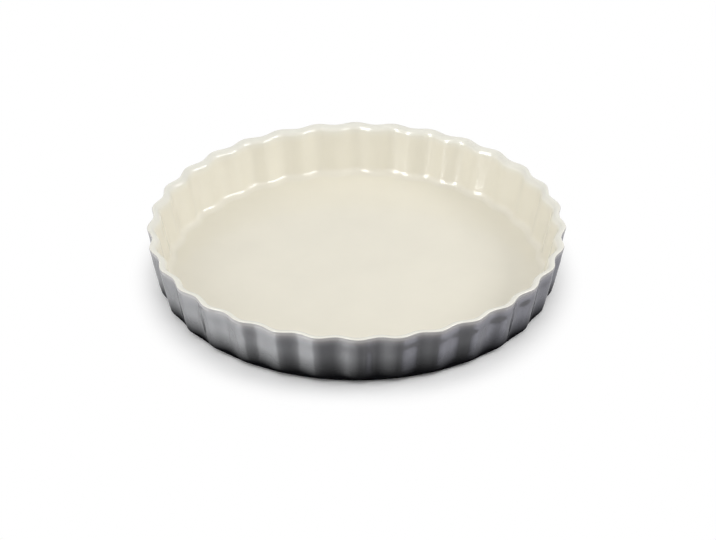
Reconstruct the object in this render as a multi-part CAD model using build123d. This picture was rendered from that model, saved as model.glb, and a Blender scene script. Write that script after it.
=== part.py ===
"""A fluted quiche dish in glazed stoneware.

One fired piece: a shallow round dish whose wall is a ring of upright flutes. The flutes run
the same way inside and outside, and outside they die away into a plain round foot. The clay
body carries three coats of glaze, and each coat is a solid of its own: a pale one inside and
over the rim, a dark one outside, and one in the recess under the floor. The foot ring that
the dish stands on is bare clay.

Millimetres, +Z up. The origin is the middle of the foot ring, on the surface it stands on.
A flute's crest lies on +X.
"""
from build123d import *
import os
from math import asin, cos, degrees, radians, sin, tan, tau

# Driving dimensions
overall_diameter = 280.0  # across two opposite crests, at the rim
overall_height = 40.5
flute_count = 32
flute_swing = 1.7  # how far a crest stands out from the mean line, and a valley in
wall_lean = 12.3  # degrees that the wall leans out from upright
wall_thickness = 5.0  # measured level, glaze included; the rim is a full round on it
floor_thickness = 5.5  # glaze included
glaze_thickness = 0.5
outer_corner_radius = 6.5
inner_corner_radius = 6.0
foot_height = 0.8  # how far the foot ring stands below the glaze
foot_ring_diameter = 245.0
foot_ring_width = 6.5

# The flutes' wave
crest_arc = 0.4  # share of each crest and valley that is rounded, between straight flanks
flat_width = 0.5  # share that is flat instead, in the clay under the glaze
flat_swing = 0.85  # share of the swing where those flats lie

# Turns round an edge, in degrees: where a surface faces, from level outward, and up positive
facing_down = -90
facing_out = -wall_lean
facing_up = 90
facing_in = 180 - wall_lean

# Heights and radii that follow
floor_height = foot_height + floor_thickness
clay_underside = foot_height + glaze_thickness
clay_top = overall_height - glaze_thickness
rim_radius = wall_thickness * cos(radians(wall_lean)) / 2
rim_centre_height = overall_height - rim_radius
shoulder_height = rim_centre_height - rim_radius * sin(radians(wall_lean))
shoulder_radius = overall_diameter / 2 - flute_swing
glaze_line = degrees(asin((clay_top - rim_centre_height) / rim_radius))
foot_recess_diameter = foot_ring_diameter - 2 * foot_ring_width


def flute_point(radius, flute, height):
    """The point at a radius and a height, so many flutes round from +X."""
    angle = flute * tau / flute_count
    return Vector(radius * cos(angle), radius * sin(angle), height)


def swing_at(radius, fullness):
    """The flutes fan out from the middle, so their swing grows with the radius."""
    return fullness * flute_swing * radius / shoulder_radius


def fluted_ring(radius, height, fullness=1.0):
    """A level ring that waves about its mean radius, rounded at each crest and valley."""
    swing = swing_at(radius, fullness)
    flank_swing = swing * (1 - crest_arc) / (1 - crest_arc / 2)
    reach = crest_arc / 4
    edges = []
    for half_flute in range(2 * flute_count):
        middle = half_flute / 2
        side = 1 if half_flute % 2 == 0 else -1
        start = flute_point(radius + side * flank_swing, middle - reach, height)
        peak = flute_point(radius + side * swing, middle, height)
        end = flute_point(radius + side * flank_swing, middle + reach, height)
        next_start = flute_point(radius - side * flank_swing, middle + 0.5 - reach, height)
        edges.append(Edge.make_three_point_arc(start, peak, end))
        edges.append(Edge.make_line(end, next_start))
    return Wire(edges)


def fluted_form(rings):
    """The solid inside a stack of fluted rings, straight from each ring to the next."""
    return Solid.make_loft([fluted_ring(*ring) for ring in rings], ruled=True)


def faceted_ring(radius, height, fullness=1.0):
    """The corners of the same wave with flats for its arcs, for clay that glaze covers."""
    flat = flat_swing * swing_at(radius, fullness)
    reach = flat_width / 4
    corners = []
    for half_flute in range(2 * flute_count):
        side = 1 if half_flute % 2 == 0 else -1
        for flute in (half_flute / 2 - reach, half_flute / 2 + reach):
            corners.append(flute_point(radius + side * flat, flute, height))
    return corners


def faceted_form(rings):
    """The solid inside a stack of faceted rings, with two triangles on every flat."""
    stack = [faceted_ring(*ring) for ring in rings]
    outlines = [stack[0], stack[-1]]
    for lower, upper in zip(stack, stack[1:]):
        for i in range(len(lower)):
            outlines.append([lower[i - 1], lower[i], upper[i]])
            outlines.append([lower[i - 1], upper[i], upper[i - 1]])
    return Solid(Shell([Face(Wire.make_polygon(outline)) for outline in outlines]))


def rounding(depth, height, radius, turns, offset=0.0):
    """Rings round an edge or a corner that runs tangent into the leaning wall.

    The wall is met at a level depth in from outside, and the rounding's centre is at a
    height. The offset widens the rings about that centre.
    """
    slope = tan(radians(wall_lean))
    wall_radius = shoulder_radius - depth + (height - shoulder_height) * slope
    centre_radius = wall_radius - radius / cos(radians(wall_lean))
    reach = radius + offset
    return [
        (centre_radius + reach * cos(radians(turn)), height + reach * sin(radians(turn)))
        for turn in turns
    ]


def even_turns(start, end, bands):
    return [start + (end - start) * band / bands for band in range(bands + 1)]


def outer_corner(offset, bands):
    """Rings up the outside of the foot, where the flutes grow out of a plain circle."""
    height = foot_height + outer_corner_radius
    turns = even_turns(facing_down, facing_out, bands)
    rings = rounding(0, height, outer_corner_radius, turns, offset)
    shares = [band / bands for band in range(bands + 1)]
    return [(*ring, share**2 * (3 - 2 * share)) for ring, share in zip(rings, shares)]


def inner_corner(offset, bands):
    """Rings up the inside corner, which is fluted down to the floor."""
    height = floor_height + inner_corner_radius
    turns = even_turns(facing_down, facing_out, bands)
    return rounding(wall_thickness, height, inner_corner_radius, turns, offset)


def rim(turns, offset=0.0):
    """Rings over the full round of the rim."""
    return rounding(0, rim_centre_height, rim_radius, turns, offset)


def disc(diameter, bottom, top):
    """A round plate between two heights."""
    return Pos(0, 0, bottom) * extrude(Circle(diameter / 2).face(), amount=top - bottom)


# Rings from the bottom up: the surfaces that show, and the clay's, a glaze's thickness in
outside = outer_corner(0, 2) + rim([facing_out, glaze_line])
rim_top = rim([glaze_line, facing_up])
inside = inner_corner(0, 2) + rim([facing_in, facing_up])
clay_outside = outer_corner(-glaze_thickness, 2) + rim([facing_out, facing_up], -glaze_thickness)
clay_inside = inner_corner(glaze_thickness, 2) + rim([facing_in, facing_up], -glaze_thickness)


def make_stoneware_body():
    """Fired clay: floor, fluted wall, and the bare ring that the dish stands on."""
    foot_ring = disc(foot_ring_diameter, 0, clay_underside)
    foot_ring -= disc(foot_recess_diameter, 0, clay_underside)
    return faceted_form(clay_outside) - faceted_form(clay_inside) + foot_ring


def make_interior_glaze():
    """The pale coat: floor, inner wall and rim, out to the line where the dark coat ends."""
    return faceted_form(clay_inside) + fluted_form(rim_top) - fluted_form(inside)


def make_exterior_glaze():
    """The dark coat: from the line on the rim down the wall and in to the foot ring."""
    foot_ring = disc(foot_ring_diameter, foot_height, clay_underside)
    return fluted_form(outside) - faceted_form(clay_outside) - foot_ring


def make_underside_glaze():
    """The coat on the floor's underside, inside the foot ring."""
    return disc(foot_recess_diameter, foot_height, clay_underside)


nodes = {
    "stoneware_body": make_stoneware_body(),
    "interior_glaze": make_interior_glaze(),
    "exterior_glaze": make_exterior_glaze(),
    "underside_glaze": make_underside_glaze(),
}

os.makedirs("parts", exist_ok=True)
for name, node in nodes.items():
    export_step(node, f"parts/{name}.step")
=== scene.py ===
"""The looks of a fluted quiche dish: clay and three coats of glaze, on a white table in soft light."""
import bmesh
import bpy
from math import asin, cos, pi, radians, sin, tan, tau
from mathutils import Matrix, Vector


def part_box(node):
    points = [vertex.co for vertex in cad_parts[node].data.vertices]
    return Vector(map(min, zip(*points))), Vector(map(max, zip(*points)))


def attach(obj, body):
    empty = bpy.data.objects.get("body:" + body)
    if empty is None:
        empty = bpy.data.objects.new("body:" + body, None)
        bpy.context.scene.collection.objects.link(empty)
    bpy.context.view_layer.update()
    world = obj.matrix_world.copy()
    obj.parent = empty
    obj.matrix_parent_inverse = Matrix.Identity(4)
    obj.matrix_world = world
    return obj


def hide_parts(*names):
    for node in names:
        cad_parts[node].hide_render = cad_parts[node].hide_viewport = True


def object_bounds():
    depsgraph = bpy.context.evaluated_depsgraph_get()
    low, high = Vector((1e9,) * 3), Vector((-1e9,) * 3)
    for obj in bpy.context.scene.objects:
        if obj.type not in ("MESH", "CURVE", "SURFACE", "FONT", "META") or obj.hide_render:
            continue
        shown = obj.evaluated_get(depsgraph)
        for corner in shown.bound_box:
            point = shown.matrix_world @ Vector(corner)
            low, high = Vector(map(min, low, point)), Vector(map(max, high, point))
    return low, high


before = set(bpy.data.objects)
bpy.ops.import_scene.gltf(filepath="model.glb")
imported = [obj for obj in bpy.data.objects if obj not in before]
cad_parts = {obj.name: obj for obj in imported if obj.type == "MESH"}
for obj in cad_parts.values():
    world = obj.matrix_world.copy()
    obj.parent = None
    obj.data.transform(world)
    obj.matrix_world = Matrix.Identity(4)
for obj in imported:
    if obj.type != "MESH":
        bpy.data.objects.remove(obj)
cad_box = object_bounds()

# Sizes in metres that the frame gives
half_width = cad_box[1].x
overall_height = cad_box[1].z
foot_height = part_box("underside_glaze")[0].z
clay_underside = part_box("underside_glaze")[1].z
foot_recess_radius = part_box("underside_glaze")[1].x
floor_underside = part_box("interior_glaze")[0].z
clay_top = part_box("exterior_glaze")[1].z

# Sizes in metres that the boxes of the nodes don't show
flute_count = 32
flute_swing = 0.00155
inner_swing_share = 0.78  # how full the flutes are inside, below the rim's roll
swing_unevenness = 0.05  # how much less the weakest flute swings
wall_lean = radians(12.3)
wall_thickness = 0.005
rim_inner_radius = 0.0046  # the rim rolls over more gently inside than outside
foot_ring_radius = 0.1225
outer_corner_radius = 0.0065
inner_corner_radius = 0.006
plain_share = 0.38  # how much of the outer corner's turn is plain before the flutes start
foot_edge_radius = 0.0004
belly = 0.00028  # how far the wall swells out between the foot's corner and the rim's lip

# Where the wall changes, as shares of its height between the corner and the rim
belly_full = 0.16  # the wall has swollen out by here
lip_start = 0.65  # it draws in again between this and the next
lip_end = 0.84
flutes_change = 0.5  # the flutes start to take on the rim's fullness here

# Sizes that follow
glaze_thickness = clay_underside - foot_height
floor_height = floor_underside + glaze_thickness
rim_inner_share = rim_inner_radius * (1 - sin(wall_lean))
rim_outer_radius = (wall_thickness * cos(wall_lean) - rim_inner_share) / (1 + sin(wall_lean))
rim_height = overall_height - rim_outer_radius
mean_radius = half_width - flute_swing
shoulder_radius = mean_radius - rim_outer_radius * (1 - cos(wall_lean))
shoulder_height = rim_height - rim_outer_radius * sin(wall_lean)

# Turns round an edge: where a surface faces, from level outward, and up positive
facing_down = -pi / 2
facing_out = -wall_lean
facing_up = pi / 2
facing_in = pi - wall_lean
glaze_line = asin((clay_top - rim_height) / rim_outer_radius)

# How finely the surfaces are divided
samples_per_flute = 24
corner_steps = 12
wall_steps = 28
rim_steps = 10
foot_edge_steps = 4
floor_shares = (0.25, 0.5, 0.75, 0.9, 0.95)  # of the floor's radius
sharpest_smooth_edge = radians(40)


# The profile: rings of (mean radius, height, how full the flutes are)
def even_turns(start, end, steps):
    return [start + (end - start) * step / steps for step in range(steps + 1)]


def rounding(depth, centre_height, radius, start, end, steps, offset=0.0):
    """Rings round an edge that runs tangent into the leaning wall, at a depth in from outside.

    The centre lies inward of the surface at that depth, or outward of it if the radius is
    negative.
    """
    wall_radius = shoulder_radius - depth + (centre_height - shoulder_height) * tan(wall_lean)
    centre_radius = wall_radius - radius / cos(wall_lean)
    reach = abs(radius) + offset
    return [
        (centre_radius + reach * cos(turn), centre_height + reach * sin(turn), 1.0)
        for turn in even_turns(start, end, steps)
    ]


def outer_rim(start, end, offset=0.0):
    """Rings over a part of the rim's round, between the outer wall and the top."""
    return rounding(0, rim_height, rim_outer_radius, start, end, rim_steps, offset)


def inner_rim(offset=0.0):
    """Rings over the gentler roll from the inner wall to the top of the rim."""
    centre_height = overall_height - rim_inner_radius
    return rounding(
        wall_thickness, centre_height, -rim_inner_radius, facing_in, facing_up, rim_steps, offset
    )


def ease(value):
    """From 0 to 1 as the value does, with a soft start and end."""
    value = min(max(value, 0.0), 1.0)
    return value**2 * (3 - 2 * value)


def wall(lower, upper, swell=0.0):
    """Rings up a wall between two others, which swells a little and draws in below the lip."""
    rings = []
    for step in range(1, wall_steps):
        share = step / wall_steps
        radius, height, _ = (a + (b - a) * share for a, b in zip(lower, upper))
        drawn_in = ease((share - lip_start) / (lip_end - lip_start))
        proud = swell * ease(share / belly_full) * (1 - drawn_in)
        changed = ease((share - flutes_change) / (1 - flutes_change))
        fullness = lower[2] + (upper[2] - lower[2]) * changed
        rings.append((radius + proud, height, fullness))
    return rings


def outer_side(offset, rim_end):
    """Rings up the outside: the flutes grow out of a plain foot, and the wall ends in the rim."""
    centre_height = foot_height + outer_corner_radius
    corner = rounding(
        0, centre_height, outer_corner_radius, facing_down, facing_out, corner_steps, offset
    )
    plain_steps = plain_share * corner_steps
    corner = [
        (radius, height, ease((step - plain_steps) / (corner_steps - plain_steps)))
        for step, (radius, height, _) in enumerate(corner)
    ]
    edge = outer_rim(facing_out, rim_end, offset)
    return corner + wall(corner[-1], edge[0], belly) + edge


def inner_side(corner_offset, rim_offset, rim_end):
    """Rings up the inside, which is fluted down to the floor, and over the rim as far as its end."""
    centre_height = floor_height + inner_corner_radius
    corner = rounding(
        wall_thickness, centre_height, inner_corner_radius,
        facing_down, facing_out, corner_steps, corner_offset
    )
    corner = [(radius, height, inner_swing_share) for radius, height, _ in corner]
    edge = inner_rim(rim_offset)
    if rim_end < facing_up:
        edge += outer_rim(facing_up, rim_end, rim_offset)[1:]
    return corner + wall(corner[-1], edge[0]) + edge


def floor_rings(outer_ring):
    """Plain rings of a level floor, from its middle out to near the corner's first ring."""
    radius, height, _ = outer_ring
    return [(0, height, 0)] + [(radius * share, height, 0) for share in floor_shares]


def foot_edge(radius, start, end):
    """Plain rings round a small edge of the foot ring, about a centre."""
    return [
        (radius + foot_edge_radius * cos(turn), foot_edge_radius * (1 + sin(turn)), 0)
        for turn in even_turns(start, end, foot_edge_steps)
    ]


# The two sides of the clay, and of the glaze over it
clay_outside = outer_side(-glaze_thickness, facing_up)
clay_inside = inner_side(glaze_thickness, -glaze_thickness, facing_up)
outside = outer_side(0, glaze_line)
inside = inner_side(0, 0, glaze_line)


def clay_profile():
    """From under the floor, round the bare foot ring and up the wall, to the top of the floor."""
    under = [(0, clay_underside, 0), (foot_recess_radius, clay_underside, 0)]
    ring_inner = foot_edge(foot_recess_radius + foot_edge_radius, pi, 1.5 * pi)
    ring_outer = foot_edge(foot_ring_radius - foot_edge_radius, -pi / 2, 0)
    step = [(foot_ring_radius, clay_underside, 0)]
    back = clay_inside[::-1][1:] + floor_rings(clay_inside[0])[::-1]
    return under + ring_inner + ring_outer + step + clay_outside + back


def interior_profile():
    """Across the floor, up the wall and over the rim to the line, and back along the clay."""
    front = floor_rings(inside[0]) + inside
    back = clay_inside[::-1] + floor_rings(clay_inside[0])[::-1]
    return front + back


def exterior_profile():
    """From the foot ring up to the line on the rim, and back along the clay."""
    start = [(foot_ring_radius, foot_height, 0)]
    end = [(foot_ring_radius, clay_underside, 0)]
    return start + outside + clay_outside[::-1] + end


def underside_profile():
    """A flat disc in the recess inside the foot ring."""
    low = [(0, foot_height, 0), (foot_recess_radius, foot_height, 0)]
    high = [(foot_recess_radius, clay_underside, 0), (0, clay_underside, 0)]
    return low + high


# Meshes
def wave(angle):
    """The flutes: 1 on a crest, -1 in a valley."""
    return cos(flute_count * angle)


def unevenness(angle):
    """From 0 to 1 and slow round the dish, because no two flutes come out of a mould alike."""
    return 0.5 + 0.2 * sin(3 * angle + 0.7) + 0.3 * sin(11 * angle)


def ring_points(ring):
    """The points of one ring, or the one point of a ring that has shrunk to the axis."""
    radius, height, fullness = ring
    if radius == 0:
        return [(0, 0, height)]
    points = []
    sample_count = flute_count * samples_per_flute
    for sample in range(sample_count):
        angle = sample * tau / sample_count
        swing = fullness * flute_swing / mean_radius * (1 - swing_unevenness * unevenness(angle))
        reach = radius * (1 + swing * wave(angle))
        points.append((reach * cos(angle), reach * sin(angle), height))
    return points


def lofted_mesh(name, rings):
    """A closed mesh over rings that start and end on the axis, or that join up in a loop."""
    vertices = []
    loops = []
    for ring in rings:
        points = ring_points(ring)
        loops.append(range(len(vertices), len(vertices) + len(points)))
        vertices += points
    if len(loops[0]) > 1:
        loops.append(loops[0])
    faces = []
    for lower, upper in zip(loops, loops[1:]):
        for i in range(max(len(lower), len(upper))):
            corners = [
                lower[i % len(lower)], lower[(i + 1) % len(lower)],
                upper[(i + 1) % len(upper)], upper[i % len(upper)],
            ]
            faces.append(list(dict.fromkeys(corners)))
    mesh = bpy.data.meshes.new(name)
    mesh.from_pydata(vertices, [], faces)
    work = bmesh.new()
    work.from_mesh(mesh)
    bmesh.ops.recalc_face_normals(work, faces=work.faces)
    work.to_mesh(mesh)
    work.free()
    mesh.shade_smooth()
    mesh.set_sharp_from_angle(angle=sharpest_smooth_edge)
    return mesh


def add_object(name, data):
    made = bpy.data.objects.new(name, data)
    bpy.context.scene.collection.objects.link(made)
    return made


def add_piece(name, rings, material, node):
    """One piece of the dish, which stands for a node of the frame."""
    piece = add_object(name, lofted_mesh(name, rings))
    piece.data.materials.append(material)
    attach(piece, "root")
    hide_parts(node)


# Shader nodes. Each function here adds a few and returns the last one's output.
def new_material(name):
    """An empty node material, its tree and its output node."""
    material = bpy.data.materials.new(name)
    material.use_nodes = True
    tree = material.node_tree
    tree.nodes.clear()
    return material, tree, tree.nodes.new("ShaderNodeOutputMaterial")


def map_range(tree, value, start, end, low=0.0, high=1.0, kind="LINEAR"):
    """From low to high as the value goes from start to end, and no further on either side."""
    node = tree.nodes.new("ShaderNodeMapRange")
    node.interpolation_type = kind
    node.inputs["From Min"].default_value = start
    node.inputs["From Max"].default_value = end
    node.inputs["To Min"].default_value = low
    node.inputs["To Max"].default_value = high
    tree.links.new(value, node.inputs["Value"])
    return node.outputs["Result"]


def combined(tree, operation, first, second):
    """Two numbers taken together by an operation."""
    node = tree.nodes.new("ShaderNodeMath")
    node.operation = operation
    tree.links.new(first, node.inputs[0])
    tree.links.new(second, node.inputs[1])
    return node.outputs["Value"]


def scaled(tree, value, factor):
    """A number times a plain factor."""
    node = tree.nodes.new("ShaderNodeMath")
    node.operation = "MULTIPLY"
    node.inputs[1].default_value = factor
    tree.links.new(value, node.inputs[0])
    return node.outputs["Value"]


def noise(tree, scale, detail=3.0):
    """Noise over the dish's own coordinates. The scale is in blobs per metre."""
    place = tree.nodes.new("ShaderNodeTexCoord")
    texture = tree.nodes.new("ShaderNodeTexNoise")
    texture.inputs["Scale"].default_value = scale
    texture.inputs["Detail"].default_value = detail
    tree.links.new(place.outputs["Object"], texture.inputs["Vector"])
    return texture.outputs["Fac"]


def spread(tree, value, low, high):
    """The range that most of a noise's values lie in, mapped onto a range of numbers."""
    return map_range(tree, value, 0.3, 0.7, low, high)


def height_share(tree):
    """How high a point lies, from 0 at the table to 1 at the top of the rim."""
    place = tree.nodes.new("ShaderNodeTexCoord")
    split = tree.nodes.new("ShaderNodeSeparateXYZ")
    tree.links.new(place.outputs["Object"], split.inputs["Vector"])
    return scaled(tree, split.outputs["Z"], 1 / overall_height)


def ramp(tree, value, stops):
    """Colours by a value, with a smooth change from each stop to the next."""
    node = tree.nodes.new("ShaderNodeValToRGB")
    node.color_ramp.interpolation = "B_SPLINE" if len(stops) > 3 else "EASE"
    elements = node.color_ramp.elements
    while len(elements) < len(stops):
        elements.new(1.0)
    for element, (position, colour) in zip(elements, stops):
        element.position = position
        element.color = (*colour, 1)
    tree.links.new(value, node.inputs["Fac"])
    return node.outputs["Color"]


def tinted(tree, colour, amount):
    """A colour made lighter or darker by a factor that changes over the surface."""
    node = tree.nodes.new("ShaderNodeVectorMath")
    node.operation = "SCALE"
    tree.links.new(colour, node.inputs["Vector"])
    tree.links.new(amount, node.inputs["Scale"])
    return node.outputs["Vector"]


def bump(tree, height, distance, under=None):
    """A bump of a real height in metres, over another bump if one is given."""
    node = tree.nodes.new("ShaderNodeBump")
    node.inputs["Distance"].default_value = distance
    tree.links.new(height, node.inputs["Height"])
    if under is not None:
        tree.links.new(under, node.inputs["Normal"])
    return node.outputs["Normal"]


def mixed(tree, share, first, second):
    """A shader that turns from the first to the second as the share goes from 0 to 1."""
    node = tree.nodes.new("ShaderNodeMixShader")
    tree.links.new(share, node.inputs["Fac"])
    tree.links.new(first, node.inputs[1])
    tree.links.new(second, node.inputs[2])
    return node.outputs["Shader"]


def seen_directly(tree):
    """1 for what the camera sees, and for what it sees in gloss or through glass."""
    path = tree.nodes.new("ShaderNodeLightPath")
    seen = path.outputs["Is Camera Ray"]
    for name in ("Is Glossy Ray", "Is Transmission Ray"):
        seen = combined(tree, "MAXIMUM", seen, path.outputs[name])
    return seen


# The dish's materials
glaze_ior = 1.5
haze_roughness = 0.42
thin_glaze_start = 0.90  # shares of the dish's height between which the glaze gets thin
thin_glaze_end = 0.96
ripple_height = 0.00006  # metres, as the next two are
peel_height = 0.000004
grain_height = 0.00012

# Blobs of noise per metre
gloss_blobs = 60
ripple_blobs = 90
peel_blobs = 900
cream_blobs = 35
grey_blobs = 120
clay_blobs = 70
grain_blobs = 1500


def glaze_shader(tree, output, colour, roughness_range, edge_roughness=0.0, haze=0.0):
    """Fired glaze: glossy, with the faint ripple and orange peel that it settles into.

    The rim's edge, where the glaze is thinnest, can be rougher by an amount. The haze is how
    much of a broad, soft sheen lies over the sharp one.
    """
    shader = tree.nodes.new("ShaderNodeBsdfPrincipled")
    shader.inputs["IOR"].default_value = glaze_ior
    shader.inputs["Coat Weight"].default_value = haze
    shader.inputs["Coat Roughness"].default_value = haze_roughness
    roughness = spread(tree, noise(tree, gloss_blobs), *roughness_range)
    added = map_range(
        tree, height_share(tree), thin_glaze_start, thin_glaze_end, 0.0, edge_roughness
    )
    ripple = bump(tree, noise(tree, ripple_blobs, detail=1.0), ripple_height)
    peel = bump(tree, noise(tree, peel_blobs, detail=2.0), peel_height, ripple)
    tree.links.new(colour, shader.inputs["Base Color"])
    tree.links.new(combined(tree, "ADD", roughness, added), shader.inputs["Roughness"])
    tree.links.new(peel, shader.inputs["Normal"])
    tree.links.new(shader.outputs["BSDF"], output.inputs["Surface"])


def pale_glaze():
    """Cream inside, and a little whiter and less yellow towards the top of the rim."""
    material, tree, output = new_material("pale_glaze")
    cream = (0.818, 0.780, 0.665)
    rim_cream = (0.825, 0.808, 0.725)
    by_height = ramp(tree, height_share(tree), [(0.80, cream), (0.98, rim_cream)])
    mottled = tinted(tree, by_height, spread(tree, noise(tree, cream_blobs), 0.985, 1.015))
    glaze_shader(tree, output, mottled, (0.07, 0.12), haze=0.85)
    return material


def dark_glaze():
    """Grey near the rim and almost black at the foot, as the sprayed coat gets thicker."""
    material, tree, output = new_material("dark_glaze")
    stops = [
        (0.12, (0.006, 0.006, 0.007)),
        (0.25, (0.012, 0.012, 0.013)),
        (0.37, (0.025, 0.025, 0.027)),
        (0.50, (0.046, 0.046, 0.050)),
        (0.62, (0.056, 0.056, 0.060)),
        (0.78, (0.060, 0.059, 0.066)),
        (0.89, (0.105, 0.103, 0.112)),
        (0.965, (0.370, 0.355, 0.345)),
    ]
    by_height = ramp(tree, height_share(tree), stops)
    unevenly = spread(tree, noise(tree, grey_blobs, detail=4.0), 0.94, 1.06)
    mottled = tinted(tree, by_height, unevenly)
    glaze_shader(tree, output, mottled, (0.09, 0.15), edge_roughness=0.3)
    return material


def stoneware():
    """Bare fired clay: buff, matt and sandy, with darker specks of grog."""
    material, tree, output = new_material("stoneware")
    shader = tree.nodes.new("ShaderNodeBsdfPrincipled")
    shader.inputs["Roughness"].default_value = 0.9
    grain = noise(tree, grain_blobs, detail=4.0)
    dark_buff = (0.60, 0.52, 0.41)
    light_buff = (0.70, 0.62, 0.51)
    patches = ramp(tree, noise(tree, clay_blobs), [(0.35, dark_buff), (0.65, light_buff)])
    speckled = tinted(tree, patches, spread(tree, grain, 0.75, 1.1))
    tree.links.new(speckled, shader.inputs["Base Color"])
    tree.links.new(bump(tree, grain, grain_height), shader.inputs["Normal"])
    tree.links.new(shader.outputs["BSDF"], output.inputs["Surface"])
    return material


# The stage, with azimuths in degrees from the camera's side rightward, and elevations from level up
table_white = 0.85
table_white_seen = 1.10
# painted shade: in the glaze's gloss the table shows this white, dimmer than it is
table_white_mirrored = 0.5
table_reach = 20.0
shadow_start = 0.137  # metres from the dish's axis at which the backdrop starts to hide the shadow
shadow_end = 0.166
shadow_narrowing = 1.08  # how much nearer that is at the dish's two sides
# a painted shadow in the glaze's gloss darkens the mirrored table and the cards between this reach and
# the next
mirror_dark_reach = 0.007  # metres from the glaze at which the mirrored table is black
mirror_clear_reach = 0.029
world_strength = 0.47
lamp_distance = 1.3
card_distance = 6.0
card_edge = 0.125  # share of a card's height in which its brightness fades, at the top and at the bottom


def table_white_paint(tree):
    """Matt white, and whiter where it is seen directly than where it only lights the dish."""
    whiteness = map_range(tree, seen_directly(tree), 0, 1, table_white, table_white_seen)
    paint = tree.nodes.new("ShaderNodeBsdfDiffuse")
    tree.links.new(whiteness, paint.inputs["Color"])
    return paint.outputs["BSDF"]


def backdrop_share(tree, path):
    """How much of the table the camera sees as backdrop: none at the dish, and all clear of it."""
    place = tree.nodes.new("ShaderNodeTexCoord")
    broadened = tree.nodes.new("ShaderNodeVectorMath")
    broadened.operation = "MULTIPLY"
    broadened.inputs[1].default_value = (shadow_narrowing, 1, 1)
    from_axis = tree.nodes.new("ShaderNodeVectorMath")
    from_axis.operation = "LENGTH"
    tree.links.new(place.outputs["Object"], broadened.inputs[0])
    tree.links.new(broadened.outputs["Vector"], from_axis.inputs[0])
    clear_of_dish = map_range(
        tree, from_axis.outputs["Value"], shadow_start, shadow_end, kind="SMOOTHSTEP"
    )
    return combined(tree, "MULTIPLY", clear_of_dish, path.outputs["Is Camera Ray"])


def mirrored_table(tree, path):
    """What the glaze mirrors of the table: white painted dimmer than the table is, with the cards under
    it showing through.

    Both fade away close to the glaze, by how short the mirrored ray is: a painted shadow that stands in
    for the dish's own shadow.
    """
    ray_length = path.outputs["Ray Length"]
    # painted shadow: 0 where the mirrored ray is short, close to the glaze, and 1 clear of it
    clear_of_painted_shadow = map_range(tree, ray_length, mirror_dark_reach, mirror_clear_reach)
    paint = tree.nodes.new("ShaderNodeBsdfDiffuse")
    clear = tree.nodes.new("ShaderNodeBsdfTransparent")
    both = tree.nodes.new("ShaderNodeAddShader")
    tree.links.new(scaled(tree, clear_of_painted_shadow, table_white_mirrored), paint.inputs["Color"])
    tree.links.new(clear_of_painted_shadow, clear.inputs["Color"])
    tree.links.new(paint.outputs["BSDF"], both.inputs[0])
    tree.links.new(clear.outputs["BSDF"], both.inputs[1])
    return both.outputs["Shader"]


def table_paint():
    """White that keeps the dish's shadow, and turns into a plain white backdrop clear of it."""
    material, tree, output = new_material("table_paint")
    path = tree.nodes.new("ShaderNodeLightPath")
    backdrop = tree.nodes.new("ShaderNodeEmission").outputs["Emission"]
    ground = mixed(tree, backdrop_share(tree, path), table_white_paint(tree), backdrop)
    surface = mixed(tree, path.outputs["Is Glossy Ray"], ground, mirrored_table(tree, path))
    tree.links.new(surface, output.inputs["Surface"])
    return material


def card_glow(colour):
    """Light of one colour, as bright as each point of a card says."""
    material, tree, output = new_material("card_glow")
    level = tree.nodes.new("ShaderNodeAttribute")
    level.attribute_name = "level"
    glow = tree.nodes.new("ShaderNodeEmission")
    glow.inputs["Color"].default_value = (*colour, 1)
    tree.links.new(level.outputs["Fac"], glow.inputs["Strength"])
    tree.links.new(glow.outputs["Emission"], output.inputs["Surface"])
    material.cycles.emission_sampling = "NONE"
    return material


def add_table():
    mesh = bpy.data.meshes.new("table")
    signs = ((-1, -1), (1, -1), (1, 1), (-1, 1))
    mesh.from_pydata([(x * table_reach, y * table_reach, 0) for x, y in signs], [], [range(4)])
    mesh.materials.append(table_paint())
    add_object("table", mesh)


def light_the_world():
    """An even white surround: dim as a lamp, and white where it is seen directly."""
    world = bpy.data.worlds.new("studio")
    world.use_nodes = True
    tree = world.node_tree
    tree.nodes.clear()
    output = tree.nodes.new("ShaderNodeOutputWorld")
    background = tree.nodes.new("ShaderNodeBackground")
    strength = map_range(tree, seen_directly(tree), 0, 1, world_strength, 1.0)
    tree.links.new(strength, background.inputs["Strength"])
    tree.links.new(background.outputs["Background"], output.inputs["Surface"])
    bpy.context.scene.world = world


def hang_lamp(name, azimuth, elevation, size, energy):
    """A soft lamp that faces the dish and that the camera doesn't see."""
    lamp = bpy.data.lights.new(name, "AREA")
    lamp.shape = "RECTANGLE"
    lamp.size, lamp.size_y = size
    lamp.energy = energy
    turn, rise = radians(azimuth), radians(elevation)
    place = Vector((sin(turn) * cos(rise), -cos(turn) * cos(rise), sin(rise))) * lamp_distance
    hung = add_object(name, lamp)
    hung.location = place
    hung.rotation_euler = place.to_track_quat("Z", "Y").to_euler()
    hung.visible_camera = False
    return hung


def add_softbox(name, azimuth, elevation, size, level):
    """A lamp that lights without a reflection. Head on, it alone lights a white card to the level."""
    lamp = hang_lamp(name, azimuth, elevation, size, level * (pi * lamp_distance) ** 2)
    lamp.visible_glossy = False


def add_gleam(name, azimuth, elevation, size, brightness):
    """A lamp that shows only as a reflection, and is so many times as bright as white."""
    lamp = hang_lamp(name, azimuth, elevation, size, brightness * pi * size[0] * size[1])
    lamp.visible_diffuse = False


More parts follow.
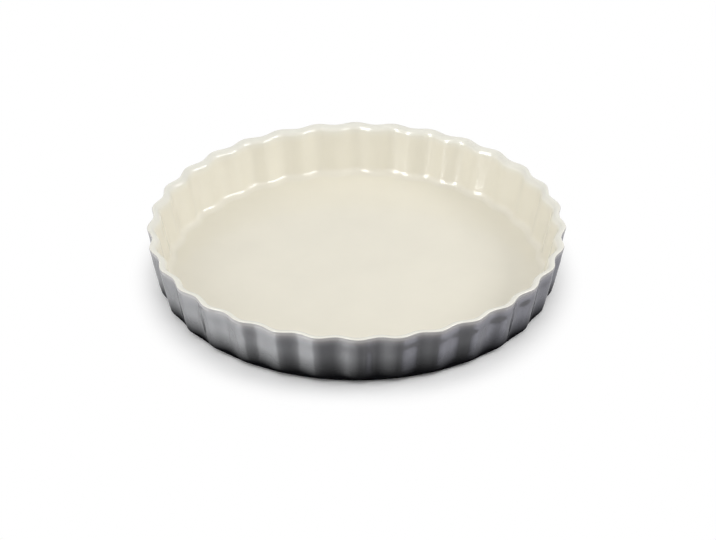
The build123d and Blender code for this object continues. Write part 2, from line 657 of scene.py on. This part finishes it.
def add_card(name, colour, columns, surround=0.0):
    """A bent card of light far off, which shows only in the glaze's gloss.

    Each column is an azimuth, the brightness there, and the lowest and highest elevation. The
    brightness turns into the surround's towards both.
    """
    rows = [(0.0, 0.0), (card_edge, 1.0), (1 - card_edge, 1.0), (1.0, 0.0)]
    vertices = []
    brightness = []
    for azimuth, level, lowest, highest in columns:
        for height, share in rows:
            elevation = radians(lowest + (highest - lowest) * height)
            flat = card_distance * cos(elevation)
            turn = radians(azimuth)
            vertices.append((flat * sin(turn), -flat * cos(turn), card_distance * sin(elevation)))
            brightness.append(surround + (level - surround) * share)
    faces = []
    for column in range(len(columns) - 1):
        for row in range(len(rows) - 1):
            i = column * len(rows) + row
            faces.append((i, i + 1, i + 1 + len(rows), i + len(rows)))
    mesh = bpy.data.meshes.new(name)
    mesh.from_pydata(vertices, [], faces)
    mesh.attributes.new("level", "FLOAT", "POINT").data.foreach_set("value", brightness)
    mesh.materials.append(card_glow(colour))
    card = add_object(name, mesh)
    card.visible_camera = False
    card.visible_diffuse = False
    card.visible_transmission = False
    card.visible_volume_scatter = False
    card.visible_shadow = False


def add_left_card():
    """The bright side of the room, from just above level down, brightest at the left front."""
    lowest, highest = -85, 12
    levels = [
        (45, 0.75), (30, 0.5), (15, 0.65), (0, 1.15), (-20, 1.9), (-40, 2.7), (-49, 3.0),
        (-52, 4.9), (-60, 4.9), (-80, 4.3), (-90, 3.6), (-110, 1.95), (-130, 1.05), (-145, 0.6),
        (-165, 0.3),
    ]
    columns = [(azimuth, level, lowest, highest) for azimuth, level in levels]
    add_card("left_card", (0.985, 1.0, 1.02), columns, surround=1.0)


def add_right_card():
    """A bluer band of light where the outer wall mirrors it: steeply down, and less so further round.

    Each part has an azimuth, a brightness, and how far the band goes up and down from its middle.
    """
    steepest = -57
    rise = 0.0009  # degrees of elevation for each square degree of azimuth
    parts = [
        (46, 0.0, 6), (52, 1.1, 6), (70, 1.8, 6), (90, 1.8, 6), (105, 1.2, 7), (120, 0.75, 9),
        (140, 0.35, 14), (165, 0.2, 14),
    ]
    columns = []
    for azimuth, level, reach in parts:
        middle = steepest + rise * azimuth**2
        columns.append((azimuth, level, middle - reach, middle + reach))
    add_card("right_card", (0.995, 1.0, 1.14), columns)


def add_camera():
    """The photograph's viewpoint, fitted to the rim's crests and the outline of the foot."""
    distance = 2.7298
    elevation = radians(31.36)
    flute_turn = radians(0.364)  # from a crest on +X to the nearest crest in the photograph
    eye = Vector((0, -distance * cos(elevation), distance * sin(elevation) + overall_height))
    aim = Vector((0.00092, -0.0555, overall_height))
    turn = Matrix.Rotation(-flute_turn, 3, "Z")
    camera = bpy.data.cameras.new("camera")
    camera.lens = 205.6
    camera.sensor_width = 36.0
    camera.clip_end = 100.0
    mount = add_object("camera", camera)
    mount.location = turn @ eye
    mount.rotation_euler = (turn @ (eye - aim)).to_track_quat("Z", "Y").to_euler()
    bpy.context.scene.camera = mount


add_camera()
add_table()
light_the_world()
add_softbox("top_softbox", 0, 90, (2.0, 2.0), 0.20)
add_softbox("left_softbox", -90, 32, (0.9, 0.7), 0.30)
add_softbox("right_softbox", 85, 35, (0.7, 0.45), 0.335)
add_softbox("front_softbox", 0, 40, (1.6, 1.0), 0.305)
add_gleam("window", 68, 28, (1.1, 0.35), 8)
add_gleam("doorway", -48, 30, (0.45, 1.1), 9)
add_left_card()
add_right_card()

pale, dark, clay = pale_glaze(), dark_glaze(), stoneware()
add_piece("clay_body", clay_profile(), clay, "stoneware_body")
add_piece("cream_glaze", interior_profile(), pale, "interior_glaze")
add_piece("grey_glaze", exterior_profile(), dark, "exterior_glaze")
add_piece("foot_glaze", underside_profile(), dark, "underside_glaze")

bpy.context.scene.view_settings.view_transform = "Standard"
